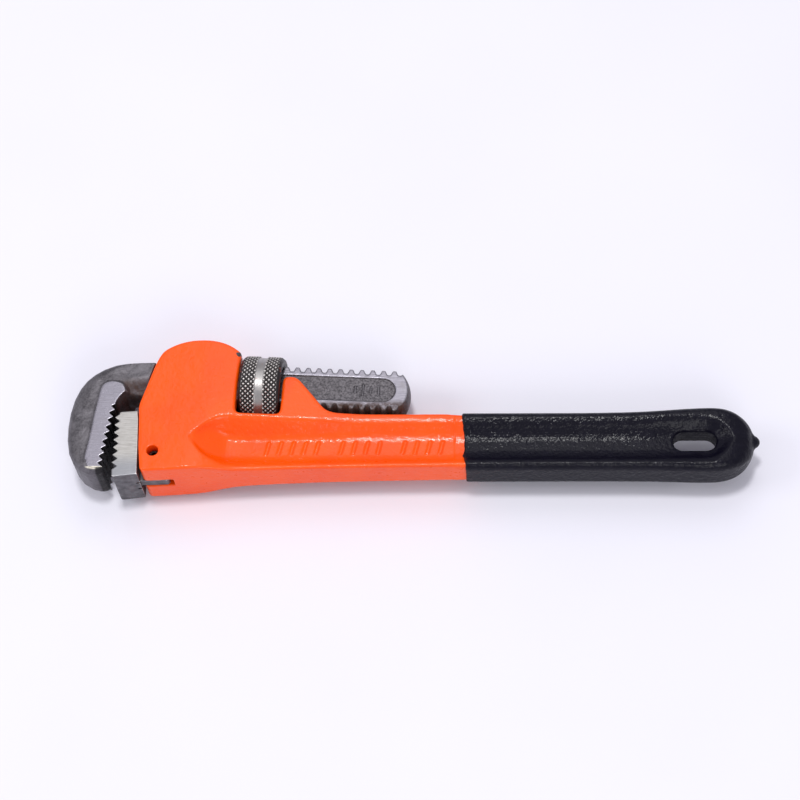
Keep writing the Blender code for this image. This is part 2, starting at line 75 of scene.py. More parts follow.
# ------------------------------------------------------------------ shared sizes (drawing frame, mm)
SHIFT = np.array((-91.0, -7.6, 11.95))
NUT_C = (40.9, 18.0)
TILT = math.radians(-3.2)
PITCH, R_TIP, R_ROOT = 3.644, 8.75, 7.35
CREST, FLANK, PHASE = 1.10, 0.72, 0.94
SHANK_H, PLAIN_R, S_END = 4.7, 8.68, 49.1
THREAD_GAP = 0.34
NUT_R, NUT_HALF = 11.95, 6.9
PIN_C, PIN_HOLE_R = (7.0, -9.0), 1.9
CAM_PLACE = (0.043901, -0.317455, 0.595479)
CAM_FORWARD = (-0.0714714, 0.4846206, -0.8717997)
CAM_UP = (0.0077631, 0.8742787, 0.4853622)
CAM_RIGHT = (0.9974124, 0.0279216, -0.0662481)
SLOT_X, SLOT_TOP, SLOT_H = 13.2, 5.1, 1.95
TONGUE_X, TONGUE_H = 11.7, 1.62
CHANNEL_H, POCKET_Y, POCKET_H = 5.05, 6.6, 4.2
SPRING_X, SPRING_R, WIRE_R, RIVET_X = 19.0, 2.1, 0.36, 28.5
SLEEVE_T, CORE_T = 0.65, 0.95
HANG = (184.0, -3.35, 14.0, 6.7)
THICK = [(-8.0, 9.7), (24.0, 9.7), (34.0, 8.95), (48.0, 7.85), (62.0, 6.75), (75.0, 5.75), (104.0, 5.6), (120.0, 5.55)]
LOWER = [(-8.0, 9.9), (19.0, 9.9), (21.0, 9.75), (24.0, 9.2), (28.0, 7.9), (32.0, 6.75), (37.0, 6.2), (60.0, 5.9), (103.0, 5.65), (112.0, 5.6), (120.0, 5.55)]
HOUSING = [
    (3.3, -16.45), (2.0, -6.7), (1.3, 3.3), (0.8, 8.0), (5.1, 23.5), (6.0, 26.0), (7.0, 28.1),
    (8.3, 29.5), (10.2, 30.7), (12.4, 31.75), (15.0, 32.6), (18.0, 33.1), (21.0, 33.2),
    (24.0, 33.05), (27.5, 32.3), (30.5, 30.95), (32.7, 29.4), (33.9, 28.2), (33.75, 26.2), (33.2, 16.0),
    (33.0, 9.0), (33.0, 7.2), (33.5, 6.1), (34.6, 5.6),
    (46.6, 5.6), (47.6, 6.1), (47.95, 7.4), (48.15, 17.8), (48.55, 19.2), (49.6, 19.9),
    (52.0, 19.9), (53.55, 19.0), (55.1, 17.2), (59.4, 12.0), (61.6, 9.1), (63.3, 7.6),
    (66.0, 6.75), (75.0, 6.45), (90.0, 6.4), (103.0, 6.45), (107.5, 5.95), (114.0, 5.85),
    (114.0, -13.0), (110.0, -13.05), (107.0, -13.1), (101.0, -13.15), (80.0, -13.35), (62.0, -13.65),
    (47.0, -14.1), (27.0, -15.0), (12.0, -16.05),
]
GRIP = [
    (107.9, 6.95, -14.0, 6.5), (130.0, 6.75, -14.1, 6.5), (150.0, 6.65, -14.15, 6.5),
    (164.0, 6.85, -14.25, 6.5), (172.0, 7.25, -14.4, 6.5), (180.0, 7.85, -14.7, 6.5),
    (187.0, 8.2, -14.9, 6.5), (191.5, 8.15, -14.75, 6.5), (194.5, 7.65, -14.2, 6.4),
    (197.0, 6.7, -13.3, 6.1), (199.2, 5.4, -12.0, 5.5), (201.0, 3.9, -10.3, 4.7),
    (202.4, 2.2, -8.1, 3.7), (203.3, 0.2, -5.3, 2.6),
]
PANEL = [
    (100.0, 3.5, -1.2, -8.6, 1.37, 1.1), (168.0, 3.5, -1.2, -8.7, 1.37, 1.1),
    (177.0, 3.2, 0.2, -8.2, 1.0, 1.1), (189.0, 3.2, 0.2, -8.2, 1.0, 1.1),
    (192.0, 3.9, -0.6, -7.2, 1.0, 1.0), (194.6, 5.2, -1.6, -5.9, 1.0, 0.9),
    (196.6, 7.0, -2.6, -4.6, 1.0, 0.9),
]
SCOOP = [
    (19.0, 9.95, -2.6, -4.4, 0.55, 0.5), (21.0, 8.6, -1.5, -6.9, 0.6, 0.55),
    (24.0, 6.6, -0.4, -9.0, 0.68, 0.6), (27.0, 4.6, -0.15, -9.3, 0.75, 0.7),
    (30.0, 2.75, -1.0, -9.0, 0.80, 0.95), (36.0, 2.6, -1.2, -8.9, 0.85, 1.15), (50.0, 2.6, -1.2, -8.9, 0.95, 1.15),
    (62.0, 2.6, -1.2, -8.9, 1.15, 1.12), (78.0, 2.6, -1.15, -8.9, 1.5, 1.08),
    (104.0, 2.6, -1.0, -8.85, 1.45, 1.05), (112.0, 2.55, -0.87, -8.95, 1.37, 1.1), (130.0, 2.55, -0.87, -8.95, 1.37, 1.1),
]
HOOK_OUT = [
    (4.85, 26.2), (0.0, 26.2), (-4.5, 26.1), (-8.7, 25.5), (-12.8, 23.9), (-16.0, 21.9),
    (-18.5, 19.6), (-20.5, 16.6), (-22.1, 12.5), (-23.0, 7.5), (-23.2, 2.4), (-22.9, -2.7),
    (-21.8, -7.8), (-20.0, -11.4), (-17.9, -13.8), (-15.2, -15.3), (-12.7, -15.9), (-11.4, -15.9),
    (-10.0, -15.4), (-9.1, -14.4),
]
HOOK_FLAT = [
    (4.0, 23.0), (-0.5, 22.8), (-4.2, 22.0), (-7.5, 20.8), (-9.8, 19.4), (-11.3, 18.0),
    (-12.1, 16.4), (-12.6, 14.4), (-13.0, 10.5), (-13.3, 6.0), (-13.6, 2.0), (-14.0, -2.5),
    (-14.4, -7.0), (-14.8, -10.8), (-14.8, -12.6), (-14.0, -13.8), (-12.7, -14.1), (-11.8, -14.2),
    (-10.6, -14.1), (-9.7, -13.9),
]
PAD = [
    (-12.2, 14.9), (-11.9, 16.0), (-11.0, 16.95), (-9.4, 17.4), (-7.4, 17.3), (-5.8, 16.6), (-4.7, 15.2), (-4.3, 14.0),
    (-5.2, 12.6), (-5.6, 10.0), (-6.0, 2.0), (-8.0, -14.4), (-14.0, -14.4), (-14.9, -12.9), (-15.1, -10.6), (-14.3, -4.8),
    (-13.8, 0.5), (-13.4, 5.6), (-12.8, 10.2), (-12.4, 13.3),
]
HOOK_RINGS = [(0.0, 4.2), (0.05, 6.1), (0.17, 7.2), (0.5, 8.1), (1.0, 8.5)]
THROAT = [(-7.3, 9.0), (-7.0, 10.4), (-6.2, 12.0), (-4.9, 13.7), (-3.1, 15.3), (-1.0, 16.3), (2.4, 17.0)]
HOOK_TIP_TOP, HOOK_TIP_END, HOOK_TEETH = (-7.05, 8.45), (-9.6, -13.1), 8
TOOTH_DEPTH = 1.45
HEEL_TOP, HEEL_END, HEEL_TEETH = (-6.8, 5.4), (-6.1, -16.9), 8
HEEL_H = 8.7


# ------------------------------------------------------------------ distance-field tools
def rmax(a, b, r):
    """Intersection with convex edges rounded to radius r."""
    return np.minimum(np.maximum(a, b), -r) + np.sqrt(np.square(np.maximum(a + r, 0)) + np.square(np.maximum(b + r, 0)))


def rmin(a, b, r):
    """Union with a fillet of radius r."""
    return -rmax(-a, -b, r)


def cornered(pts, cuts):
    """Corner cutting, at most the given distance along each edge per pass."""
    p = [np.array(q, float) for q in pts]
    for c in cuts:
        out = []
        for a, b in zip(p, p[1:] + p[:1]):
            d = b - a
            length = float(np.linalg.norm(d))
            t = min(0.25, c / max(length, 1e-9))
            out += [a + d * t, b - d * t]
        p = out
    return [tuple(q) for q in p]


def poly(px, py, pts):
    """Signed distance in the plane to a closed outline, negative inside."""
    best = np.full(np.broadcast(px, py).shape, 1e9, F)
    inside = np.zeros(best.shape, bool)
    for (ax, ay), (bx, by) in zip(pts, list(pts[1:]) + [pts[0]]):
        ex, ey = bx - ax, by - ay
        wx, wy = px - F(ax), py - F(ay)
        t = np.clip((wx * ex + wy * ey) / max(ex * ex + ey * ey, 1e-12), 0, 1)
        best = np.minimum(best, np.square(wx - ex * t) + np.square(wy - ey * t))
        if abs(ey) > 1e-12:
            hit = ((ay > py) != (by > py)) & (px < ex * (py - ay) / ey + ax)
            inside ^= hit
    best = np.sqrt(best)
    return np.where(inside, -best, best).astype(F)


def open_line(px, py, pts):
    """Distance in the plane to an open line."""
    best = np.full(np.broadcast(px, py).shape, 1e9, F)
    for (ax, ay), (bx, by) in zip(pts, pts[1:]):
        ex, ey = bx - ax, by - ay
        wx, wy = px - F(ax), py - F(ay)
        t = np.clip((wx * ex + wy * ey) / max(ex * ex + ey * ey, 1e-12), 0, 1)
        best = np.minimum(best, np.square(wx - ex * t) + np.square(wy - ey * t))
    return np.sqrt(best)


def axes(low, high, step):
    out = []
    for k in range(3):
        n = int(math.ceil((high[k] - low[k]) / step)) + 1
        shape = [1, 1, 1]
        shape[k] = n
        out.append((low[k] + step * np.arange(n)).astype(F).reshape(shape))
    return out


def smooth_curve(x, xs, ys, width):
    """Linear table ys(xs) read at x and softened over width."""
    xs, ys = np.array(xs, float), np.array(ys, float)
    total = 0.0
    weights = ((-1.0, 0.12), (-0.5, 0.22), (0.0, 0.32), (0.5, 0.22), (1.0, 0.12))
    for k, w in weights:
        total = total + w * np.interp(x + k * width, xs, ys)
    return total.astype(F)


def nets(field, low, step):
    """Surface nets: vertices (mm) and quads of the zero level of a field sampled on a grid."""
    field = np.ascontiguousarray(field, F)
    s = field < 0
    n = field.shape
    count = np.zeros((n[0] - 1, n[1] - 1, n[2] - 1), np.uint8)
    for i in (0, 1):
        for j in (0, 1):
            for k in (0, 1):
                count += s[i:n[0] - 1 + i, j:n[1] - 1 + j, k:n[2] - 1 + k]
    active = (count > 0) & (count < 8)
    idx = np.argwhere(active)
    label = np.full(count.shape, -1, np.int64)
    label[active] = np.arange(len(idx))
    total = np.zeros((len(idx), 3))
    hits = np.zeros(len(idx))
    ii, jj, kk = idx.T
    corners = [(i, j, k) for i in (0, 1) for j in (0, 1) for k in (0, 1)]
    values = {c: field[ii + c[0], jj + c[1], kk + c[2]] for c in corners}
    for a in corners:
        for axis in range(3):
            if a[axis]:
                continue
            b = list(a)
            b[axis] = 1
            fa, fb = values[a], values[tuple(b)]
            cross = (fa < 0) != (fb < 0)
            den = np.where(cross, fa - fb, 1.0)
            t = np.where(cross, fa / den, 0.0)
            point = np.array(a, float)[None, :] + t[:, None] * (np.array(b, float) - np.array(a, float))[None, :]
            total += point * cross[:, None]
            hits += cross
    verts = np.array(low, float) + (idx + total / hits[:, None]) * step
    quads = []
    for axis in range(3):
        u, v = (axis + 1) % 3, (axis + 2) % 3
        lo = [slice(None)] * 3
        hi = [slice(None)] * 3
        lo[axis], hi[axis] = slice(0, n[axis] - 1), slice(1, n[axis])
        a, b = s[tuple(lo)], s[tuple(hi)]
        e = np.argwhere(a != b)
        ok = (e[:, u] > 0) & (e[:, v] > 0) & (e[:, u] < n[u] - 1) & (e[:, v] < n[v] - 1)
        e = e[ok]
        inner = a[e[:, 0], e[:, 1], e[:, 2]]
        cells = []
        for du, dv in ((-1, -1), (0, -1), (0, 0), (-1, 0)):
            c = e.copy()
            c[:, u] += du
            c[:, v] += dv
            cells.append(label[c[:, 0], c[:, 1], c[:, 2]])
        q = np.stack(cells, 1)
        q[~inner] = q[~inner][:, ::-1]
        quads.append(q)
    return verts, np.concatenate(quads)


def normals_at(field, low, step, verts):
    """Unit gradient of the field at the vertices."""
    g = (verts - np.array(low)) / step
    n = np.array(field.shape)
    out = np.zeros_like(verts)
    for axis in range(3):
        d = np.zeros(3)
        d[axis] = 0.75
        out[:, axis] = trilinear(field, np.clip(g + d, 0, n - 1.001)) - trilinear(field, np.clip(g - d, 0, n - 1.001))
    return out / np.maximum(np.linalg.norm(out, axis=1), 1e-9)[:, None]


def bend_at(field, low, step, verts, normals):
    """How convex (above 0) or hollow (below 0) the surface is there, in 1/mm over about 0.8 mm."""
    reach = max(0.8 / step, 1.5)
    g = (verts - np.array(low)) / step
    n = np.array(field.shape)
    centre = trilinear(field, np.clip(g, 0, n - 1.001))
    a = np.cross(normals, np.array((0.31, 0.57, 0.76)))
    a /= np.maximum(np.linalg.norm(a, axis=1), 1e-6)[:, None]
    b = np.cross(normals, a)
    total = 0.0
    for k in range(8):
        t = math.pi * k / 4
        d = (a * math.cos(t) + b * math.sin(t)) * reach
        total = total + trilinear(field, np.clip(g + d, 0, n - 1.001)) - centre
    return np.clip(total / 8 * 2 / (reach * step) ** 2, -3, 3)


def trilinear(field, g):
    i = np.floor(g).astype(int)
    f = g - i
    total = 0.0
    for a in (0, 1):
        for b in (0, 1):
            for c in (0, 1):
                w = (f[:, 0] if a else 1 - f[:, 0]) * (f[:, 1] if b else 1 - f[:, 1]) * (f[:, 2] if c else 1 - f[:, 2])
                total = total + w * field[i[:, 0] + a, i[:, 1] + b, i[:, 2] + c]
    return total


def piece(name, node, field, low, step, material):
    """Meshes a field and puts it in place of a CAD node."""
    verts, quads = nets(field, low, step)
    normals = normals_at(field, low, step, verts)
    points = (verts + SHIFT) * 0.001
    mesh = bpy.data.meshes.new(name)
    mesh.vertices.add(len(points))
    mesh.vertices.foreach_set("co", points.astype(F).ravel())
    mesh.loops.add(quads.size)
    mesh.loops.foreach_set("vertex_index", quads.astype(np.int32).ravel())
    mesh.polygons.add(len(quads))
    mesh.polygons.foreach_set("loop_start", np.arange(0, quads.size, 4, dtype=np.int32))
    mesh.polygons.foreach_set("loop_total", np.full(len(quads), 4, np.int32))
    mesh.update(calc_edges=True)
    mesh.validate()
    mesh.shade_smooth()
    mesh.normals_split_custom_set_from_vertices(normals.astype(F).tolist())
    edge = mesh.attributes.new("edge", "FLOAT", "POINT")
    edge.data.foreach_set("value", bend_at(field, low, step, verts, normals).astype(F))
    obj = bpy.data.objects.new(name, mesh)
    bpy.context.scene.collection.objects.link(obj)
    obj.data.materials.append(material)
    body = frame["nodes"][node]["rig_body"]
    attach(obj, body)
    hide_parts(node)
    print(name, len(points), "verts")
    return obj


# ------------------------------------------------------------------ thread
def shank_coords(x, y):
    c, t = math.cos(TILT), math.sin(TILT)
    dx, dy = x - F(NUT_C[0]), y - F(NUT_C[1])
    return dx * c + dy * t, -dx * t + dy * c


def thread_radius(s, ang):
    w = s - (PHASE - PITCH / 4) - PITCH * ang / (2 * math.pi)
    w = np.abs(np.mod(w + PITCH / 2, PITCH) - PITCH / 2)
    t = np.clip((CREST / 2 + FLANK + 0.12 - w) / (FLANK + 0.24), 0, 1)
    return R_ROOT + (R_TIP - R_ROOT) * t * t * (3 - 2 * t)


# ------------------------------------------------------------------ fields
def panel_field(x, y, az, rows, round_floor, soften):
    """Distance to a sunk panel, negative in the recess. az is |z|."""
    xs = [r[0] for r in rows]
    zf, top, bot, up, down = (smooth_curve(x, xs, [r[k] for r in rows], soften) for k in range(1, 6))
    a = (zf - az) * 0.9
    b = (y - top - up * (az - zf)) / np.sqrt(1 + up * up)
    c = (bot - down * (az - zf) - y) / np.sqrt(1 + down * down)
    d = rmax(a, rmax(b, c, 0.3), round_floor)
    return np.maximum(d, np.maximum(xs[0] - x, x - xs[-1]))


def grip_field(x, y, z, start):
    """The grip's outer skin without its hang slot."""
    pts = [(start, GRIP[0][1])] + [(r[0], r[1]) for r in GRIP[1:]] + [(r[0], r[2]) for r in reversed(GRIP[1:])] + [(start, GRIP[0][2])]
    pts = cornered(pts, (2.0, 1.0, 0.5))
    flat = poly(x[:, :, 0], y[:, :, 0], pts)[:, :, None]
    az = np.abs(z)
    side = [(start - 20, 6.5)] + [(r[0], r[3]) for r in GRIP] + [(205.5, 0.3)]
    h = smooth_curve(x, [r[0] for r in side], [r[1] for r in side], 1.2)
    d = rmax(flat, (az - h) * 0.92, 2.7)
    dish = panel_field(x, y, az, [(start - 20,) + PANEL[0][1:]] + PANEL[1:], 1.6, 2.2)
    d = rmax(d, -dish, 1.1)
    # moulded nib
    r = smooth_curve(x, [199.0, 201.4, 203.4, 204.6, 205.0, 205.2], [3.7, 3.2, 2.35, 1.55, 1.0, 0.5], 0.2)
    nib = (np.sqrt(np.square(y + 2.35) + np.square(z * 1.12)) - r) * 0.85
    nib = np.maximum(np.maximum(nib, x - 205.2), 199.0 - x)
    return rmin(d, nib, 0.9)


def slot_field(x, y, grow):
    r = HANG[3] / 2 + grow
    d = (HANG[2] - HANG[3]) / 2
    return np.sqrt(np.square(np.maximum(np.abs(x - HANG[0]) - d, 0)) + np.square(y - HANG[1])) - r


def handle_field(x, y, z):
    az = np.abs(z)
    pts = cornered(HOUSING, (0.9, 0.45, 0.2))
    flat = poly(x[:, :, 0], y[:, :, 0], pts)[:, :, None]
    upper = smooth_curve(x, [p[0] for p in THICK], [p[1] for p in THICK], 4.0)
    lower = smooth_curve(x, [p[0] for p in LOWER], [p[1] for p in LOWER], 2.0)
    t = np.clip((y + 9.0) / 8.0, 0, 1)
    h = lower + (upper - lower) * t * t * (3 - 2 * t)
    r = np.interp(x, [0.0, 20.0, 60.0, 104.0], [0.8, 0.9, 1.1, 1.3]).astype(F)
    d = rmax(flat, (az - h) * 0.97, r)
    recess = panel_field(x, y, az, SCOOP, 1.2, 2.0)
    d = rmax(d, -recess, 0.75)
    # raised bars on the panel's floor, a plain relief
    bars = None
    for k in range(15):
        if k in (5, 10):
            continue
        cx = 44.0 + 4.1 * k
        lean = (y + 5.0) * 0.22
        bx = np.abs(x - cx - lean) - 0.55
        by = np.abs(y + 5.05) - 2.55
        b = rmax(bx, by, 0.5)
        bars = b if bars is None else np.minimum(bars, b)
    relief = rmax(bars, az - 2.6 - 0.42, 0.25)
    d = rmin(d, np.maximum(relief, 1.0 - az), 0.25)
    # channel, floor, pocket, fork
    s, n = shank_coords(x, y)
    cyl = np.sqrt(np.square(n) + np.square(z)) - (R_TIP + 0.36)
    chan = np.maximum(cyl, -5.5 - n)
    floor = np.maximum(8.2 - y, y - 16.5)
    hole = np.minimum(chan, floor)
    hole = np.maximum(hole, az - CHANNEL_H)
    hole = np.maximum(hole, x - 36.0)
    d = rmax(d, -hole, 0.35)
    pocket = np.maximum(np.maximum(14.9 - x, x - 36.0), np.maximum(np.maximum(POCKET_Y - y, y - 10.0), az - POCKET_H))
    d = np.maximum(d, -pocket)
    fork = np.maximum(np.maximum(46.0 - x, x - 70.0), np.maximum(6.5 - y, az - CHANNEL_H))
    d = rmax(d, -fork, 0.35)
    slot = np.maximum(np.maximum(x - SLOT_X, y - SLOT_TOP), az - SLOT_H)
    d = rmax(d, -slot, 0.3)
    pin = np.sqrt(np.square(x - PIN_C[0]) + np.square(y - PIN_C[1])) - PIN_HOLE_R
    d = rmax(d, -pin, 0.25)
    seat = np.maximum(np.sqrt(np.square(x - SPRING_X) + np.square(z)) - (SPRING_R + WIRE_R + 0.35), 1.0 - y)
    d = np.maximum(d, -np.maximum(seat, y - 9.0))
    riv = np.maximum(np.sqrt(np.square(x - RIVET_X) + np.square(z)) - 1.15, np.maximum(3.2 - y, y - 8.0))
    d = np.maximum(d, -riv)
    return d


def make_handle(material):
    step = 0.34
    low, high = (-0.6, -18.2, -10.8), (204.0, 34.6, 10.8)
    x, y, z = axes(low, high, step)
    d = np.full((x.size, y.size, z.size), 20.0, F)
    i = int(np.searchsorted(x.ravel(), 113.9))
    d[:i] = handle_field(x[:i], y, z)
    j = int(np.searchsorted(x.ravel(), 105.0))
    xs = x[j:]
    skin = grip_field(xs, y, z, 90.0)
    skin = rmax(skin, -slot_field(xs, y, 0.0), 1.0)
    core = skin + np.interp(xs, [160.0, 190.0], [CORE_T, CORE_T + 0.15]).astype(F)
    core = np.maximum(core, 106.0 - xs)
    d[j:] = rmin(d[j:], core, 0.6)
    return piece("painted_handle", "handle", d, low, step, material)


def make_grip(material):
    step = 0.3
    low, high = (106.6, -16.2, -7.6), (206.2, 9.4, 7.6)
    x, y, z = axes(low, high, step)
    skin = grip_field(x, y, z, 90.0)
    skin = rmax(skin, -slot_field(x, y, 0.0), 1.0)
    lip = np.interp(y, [-13.2, -12.0, -9.4, -8.6, -7.6, -5.0, -1.0, 3.0, 6.5], [109.5, 109.35, 108.9, 108.35, 108.75, 109.0, 108.85, 108.3, 107.98]).astype(F)
    lip = lip + 0.12 * np.sin(y * 1.7 + z * 0.8) * np.cos(z * 1.3)
    lip = np.maximum(lip, 107.95)
    outer = rmax(skin, (lip - x) * 0.95, 0.55)
    wall = np.interp(x, [110.0, 113.0], [0.93, SLEEVE_T]).astype(F)
    d = np.maximum(outer, -(skin + wall))
    return piece("vinyl_grip", "grip_sleeve", d, low, step, material)


def tooth_line(top, end, count, depth, into):
    t, e = np.array(top, float), np.array(end, float)
    step = (e - t) / count
    into = np.array(into, float)
    pts = []
    for k in range(count):
        a = t + step * k
        pts += [tuple(a + step * 0.05 + into * depth), tuple(a + step * 0.45), tuple(a + step * 0.55), tuple(a + step * 0.95 + into * depth)]
    return pts


def make_hook(material):
    step = 0.24
    low, high = (-24.2, -17.2, -9.3), (92.6, 30.0, 9.3)
    x, y, z = axes(low, high, step)
    az = np.abs(z)
    k = int(np.searchsorted(x.ravel(), 7.0))
    teeth = tooth_line(HOOK_TIP_TOP, HOOK_TIP_END, HOOK_TEETH, TOOTH_DEPTH, (-1.0, 0.12))
    outline = HOOK_OUT + list(reversed(teeth)) + THROAT
    xa, ya = x[:k, :, 0], y[:, :, 0]
    flat = poly(xa, ya, outline)
    edge = open_line(xa, ya, HOOK_OUT)
    inner = HOOK_FLAT + list(reversed(teeth)) + THROAT
    to_flat = np.maximum(poly(xa, ya, inner), 0)
    t = edge / np.maximum(edge + to_flat, 1e-3)
    t = np.where(to_flat <= 0, 1.0, t)
    top = np.interp(t, [0.0, 0.05, 0.17, 0.32, 0.5, 0.75, 0.97, 1.0], [4.2, 6.1, 7.2, 7.75, 8.08, 8.3, 8.38, 8.5]).astype(F)
    # blurring keeps the forged band smooth
    for _ in range(2):
        top[1:-1, 1:-1] = (top[1:-1, 1:-1] * 2 + top[:-2, 1:-1] + top[2:, 1:-1] + top[1:-1, :-2] + top[1:-1, 2:]) / 6
    pad = poly(xa, ya, cornered(PAD, (0.9, 0.4)))
    off = np.clip((pad - 0.25) / 1.1, 0, 1)
    off = off * off * (3 - 2 * off)
    crown = np.clip((xa + 9.0) / 5.0, 0, 1) * np.clip((ya - 9.0) / 4.0, 0, 1)
    low_top = np.minimum(top, 8.15 - 0.75 * crown)
    top = np.where(pad < 0, np.maximum(top, 8.5), low_top * off + np.maximum(top, 8.5) * (1 - off))
    top = np.where((pad > 0) & (edge < 4.0), np.minimum(top, low_top + 0.35 * np.clip(edge / 4.0, 0, 1)), top).astype(F)
    throat = open_line(xa, ya, THROAT[1:])[:, :, None]
    slope = np.clip(1 - throat / 4.0, 0, 1)
    drop = 2.6 * slope * slope * crown[:, :, None] * np.clip(pad / 1.2, 0, 1)[:, :, None]
    head = rmax(flat[:, :, None], (az - (top[:, :, None] - drop)) * 0.8, 0.22)
    s, n = shank_coords(x, y)
    rad = np.sqrt(np.square(n) + np.square(z))
    ang = np.arctan2(z, n)
    slim = np.interp(s, [-46.2, -37.5, -33.5], [0.72, 0.80, 1.0]).astype(F)
    plain = rmax(np.sqrt(np.square(n / slim) + np.square(z)) - PLAIN_R, az - SHANK_H, 0.5) * 0.8
    plain = np.maximum(plain, np.maximum(-46.2 - s, s + 8.2))
    rod = (rad - thread_radius(s, ang)) * 0.8
    end = [(-9.6, 9.9), (43.2, 9.9), (44.9, 8.5), (46.6, 6.7), (48.0, 4.6), (48.8, 2.4), (S_END, 0.0)]
    plan = cornered(end + [(a, -b) for a, b in reversed(end[:-1])], (0.8, 0.4))
    cap = poly(s[:, :, 0], n[:, :, 0], plan)[:, :, None]
    cap = cap - np.where(s > 38.0, 0.85 * (1 - np.square(az / SHANK_H)), 0.0).clip(-0.2, 1.0) * np.clip((s - 38.0) / 5.0, 0, 1)
    rod = rmax(rmax(rod, cap, 0.5), az - SHANK_H, 0.28)
    shank = np.minimum(plain, rod)
    w, s1 = 4.45, 45.0
    dist = np.sqrt(np.square(np.maximum(s - (s1 - w), 0)) + np.square(n)) - w
    dist = np.maximum(dist, -4.0 - s)
    sunk = rmax(dist * 0.9, (SHANK_H - 0.6) - az, 0.35)
    shank = rmax(shank, -sunk, 0.2)
    ticks = None
    for q in range(4):
        b = rmax(np.abs(s - (31.5 + 2.6 * q)) - 0.32, np.abs(n) - (2.2 if q % 2 else 1.5), 0.25)
        ticks = b if ticks is None else np.minimum(ticks, b)
    ticks = rmax(ticks, az - (SHANK_H - 0.6) - 0.28, 0.15)
    shank = rmin(shank, np.maximum(ticks, 2.0 - az), 0.15)
    d = shank
    d[:k] = rmin(d[:k], head, 0.9)
    return piece("forged_hook_jaw", "hook_jaw", d, low, step, material)


def make_nut(material):
    step = 0.15
    low, high = (32.4, 4.9, -12.7), (49.6, 31.1, 12.7)
    x, y, z = axes(low, high, step)
    s, n = shank_coords(x, y)
    rad = np.sqrt(np.square(n) + np.square(z))
    ang = np.arctan2(z, n)
    prof = [(-6.8, 7.0), (-6.8, 10.5), (-6.45, 11.2), (-5.65, NUT_R), (-1.62, NUT_R), (-1.3, NUT_R - 0.5),
            (1.3, NUT_R - 0.5), (1.62, NUT_R), (5.65, NUT_R), (6.45, 11.2), (6.8, 10.5), (6.8, 7.0)]
    d = -np.full(rad.shape, 9.0, F)
    a = np.abs(s)
    d = np.maximum(d, a - NUT_HALF)
    d = rmax(d, rad - NUT_R, 0.25)
    # end chamfers and the plain groove between the knurled bands
    d = rmax(d, ((a - 5.65) * 0.75 + (rad - NUT_R) * 1.0) * 0.8, 0.25)
    groove = rmax(a - 1.38, (NUT_R - 0.5) - rad, 0.12)
    d = np.maximum(d, -groove)
    q = 44
    u = q * ang / (2 * math.pi)
    v = s / 1.7
    fa = np.abs(2 * np.mod(u + v, 1.0) - 1)
    fb = np.abs(2 * np.mod(u - v, 1.0) - 1)
    lift = np.clip(np.minimum(fa, fb) / 0.72, 0, 1)
    lift = lift * (1.25 - 0.25 * lift)
    knurl = rad - (NUT_R - 0.55 * (1 - np.clip(lift, 0, 1)))
    band = (a > 1.45) & (rad > NUT_R - 1.2)
    d = np.where(band, np.maximum(d, knurl * 0.75), d)
    bore = (rad - (thread_radius(s, ang) + THREAD_GAP)) * 0.8
    lead = (rad - (R_ROOT + THREAD_GAP + 0.2) - np.maximum(0, (a - 6.1) * 1.9)) * 0.6
    bore = np.minimum(bore, np.where(a > 5.9, lead, 9.0))
    d = rmax(d, -bore, 0.12)
    return piece("knurled_nut", "adjusting_nut", d, low, step, material)


def make_heel(material):
    step = 0.17
    low, high = (-7.9, -18.9, -9.4), (12.6, 7.6, 9.4)
    x, y, z = axes(low, high, step)
    az = np.abs(z)
    teeth = tooth_line(HEEL_TOP, HEEL_END, HEEL_TEETH, TOOTH_DEPTH, (1.0, 0.0))
    plan = [(-5.5, 5.7), (-4.9, 6.05), (0.55, 6.45), (1.05, 3.2), (1.75, -6.8), (2.35, -17.1), (-5.4, -18.0), (-5.95, -17.6)]
    flat = poly(x[:, :, 0], y[:, :, 0], teeth[:-1] + list(reversed(plan)))[:, :, None]
    d = rmax(flat, az - HEEL_H, 0.22)
    tongue_plan = [(-1.5, -16.3), (TONGUE_X - 0.7, -15.95), (TONGUE_X, -15.3), (TONGUE_X, 3.4), (TONGUE_X - 1.0, 4.6), (-1.5, 4.6)]
    t = poly(x[:, :, 0], y[:, :, 0], tongue_plan)[:, :, None]
    tongue = rmax(t, az - TONGUE_H, 0.2)
    groove = np.maximum(np.maximum(1.0 - x, x - 3.0), np.abs(az - TONGUE_H - 0.38) - 0.4)
    d = np.minimum(rmax(d, -groove, 0.1), tongue)
    pin = np.sqrt(np.square(x - PIN_C[0]) + np.square(y - PIN_C[1])) - PIN_HOLE_R
    d = rmax(d, -pin, 0.15)
    return piece("ground_heel_jaw", "heel_jaw", d, low, step, material)


def spring_piece(name, node, body, material, cuts=(), rounds=0):
    """A spring of its own from the node's mesh, cut across at points along its length."""
    mesh = frame["nodes"][node].data.copy()
    mesh.name = name
    bm = bmesh.new()
    bm.from_mesh(mesh)
    bmesh.ops.remove_doubles(bm, verts=bm.verts, dist=1e-6)
    for x in cuts:
        bmesh.ops.bisect_plane(bm, geom=bm.verts[:] + bm.edges[:] + bm.faces[:], plane_co=((x + SHIFT[0]) * 0.001, 0, 0), plane_no=(1, 0, 0))
    bm.to_mesh(mesh)
    bm.free()
    mesh.materials.clear()
    mesh.materials.append(material)
    obj = bpy.data.objects.new(name, mesh)
    bpy.context.scene.collection.objects.link(obj)
    if rounds:
        for polygon in mesh.polygons:
            polygon.use_smooth = True
        mod = obj.modifiers.new("round", "SUBSURF")
        mod.levels = mod.render_levels = rounds
        graph = bpy.context.evaluated_depsgraph_get()
        final = bpy.data.meshes.new_from_object(obj.evaluated_get(graph))
        obj.modifiers.clear()
        obj.data = final
    if body:
        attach(obj, body)
    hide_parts(node)
    return obj


